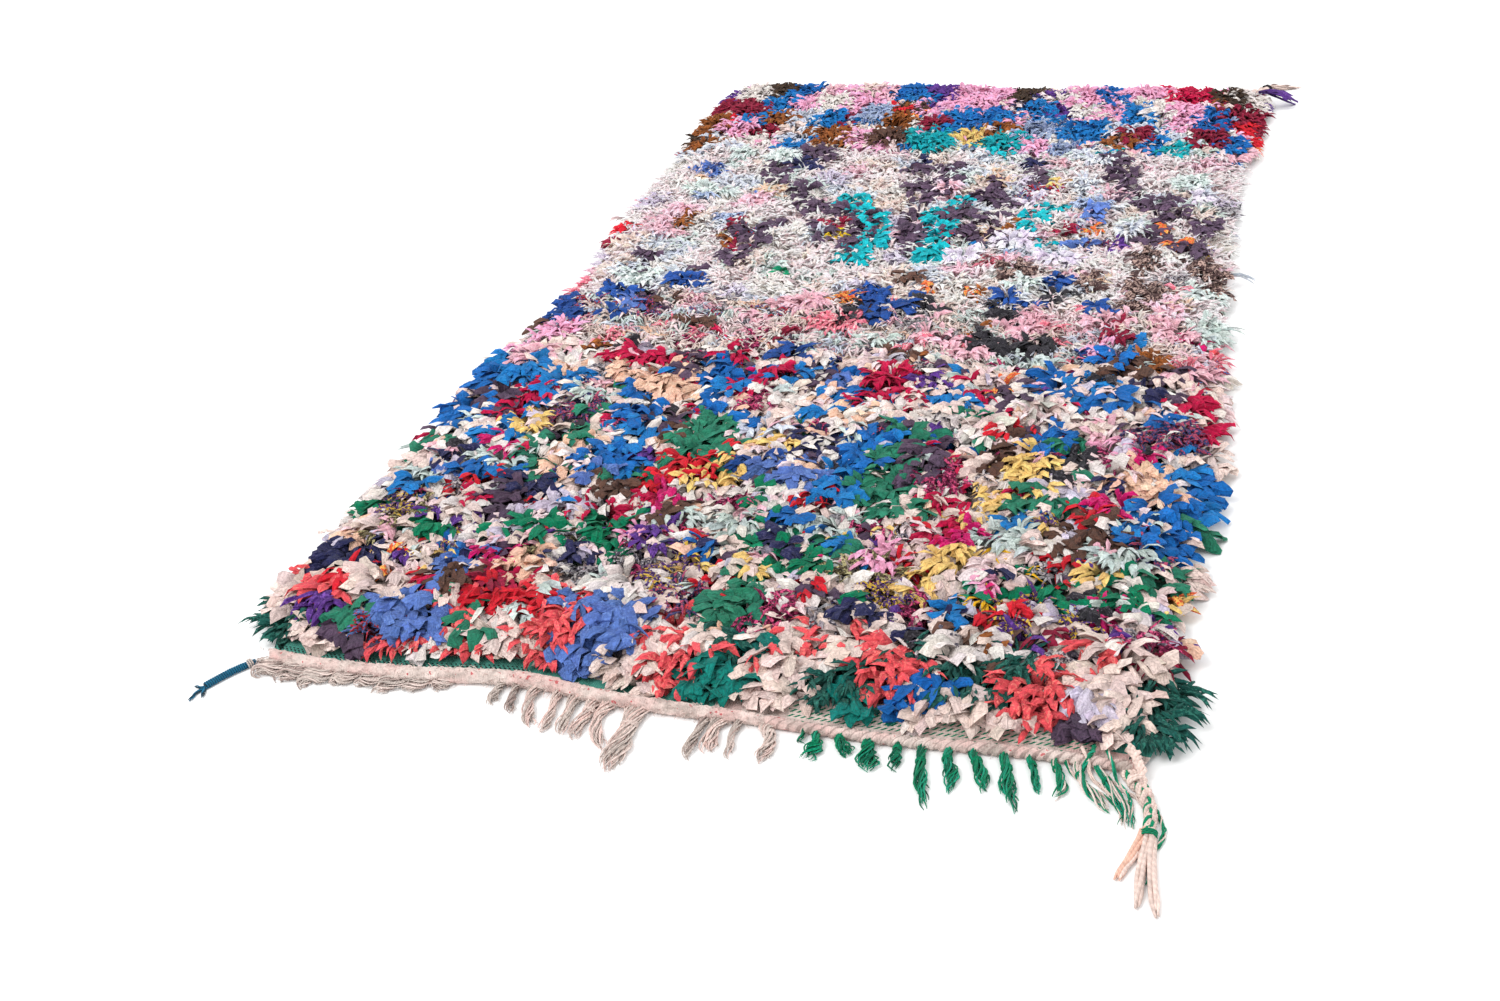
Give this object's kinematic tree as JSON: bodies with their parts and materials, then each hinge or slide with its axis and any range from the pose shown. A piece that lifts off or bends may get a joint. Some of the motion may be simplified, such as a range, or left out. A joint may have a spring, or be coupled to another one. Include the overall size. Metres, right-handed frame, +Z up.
{
  "type": "boucherouite rug",
  "caption": "Long rag shag rug that lies flat, with a lumpy knotted pile, a rolled near hem, knotted warp fringes and plaited corner tails.",
  "frame": {"origin": "on the floor under the middle of the rug's rectangle", "axes": "+Y along the rug towards the end without a fringe, +X to the right of it, +Z up out of the pile"},
  "size_m": [1.3471, 2.659, 0.0479],
  "materials": {
    "ground": "flat-woven wool and cotton, matte",
    "pile": "knotted rag and yarn shag in many colours, matte",
    "cream_warp": "undyed wool warp, fuzzy and matte",
    "green_warp": "green wool yarn, fuzzy and matte",
    "right_tail": "plaited cream rag and yarn, matte",
    "left_tail": "tightly wound teal yarn, matte",
    "far_tail": "twisted warp ends, matte"
  },
  "bodies": {
    "root": {"ground_weave": "ground", "shag_pile": "pile", "fringe_cream": "cream_warp", "fringe_green": "green_warp", "corner_tail_right": "right_tail", "corner_tail_left": "left_tail", "far_tail": "far_tail"}
  },
  "joints": []
}
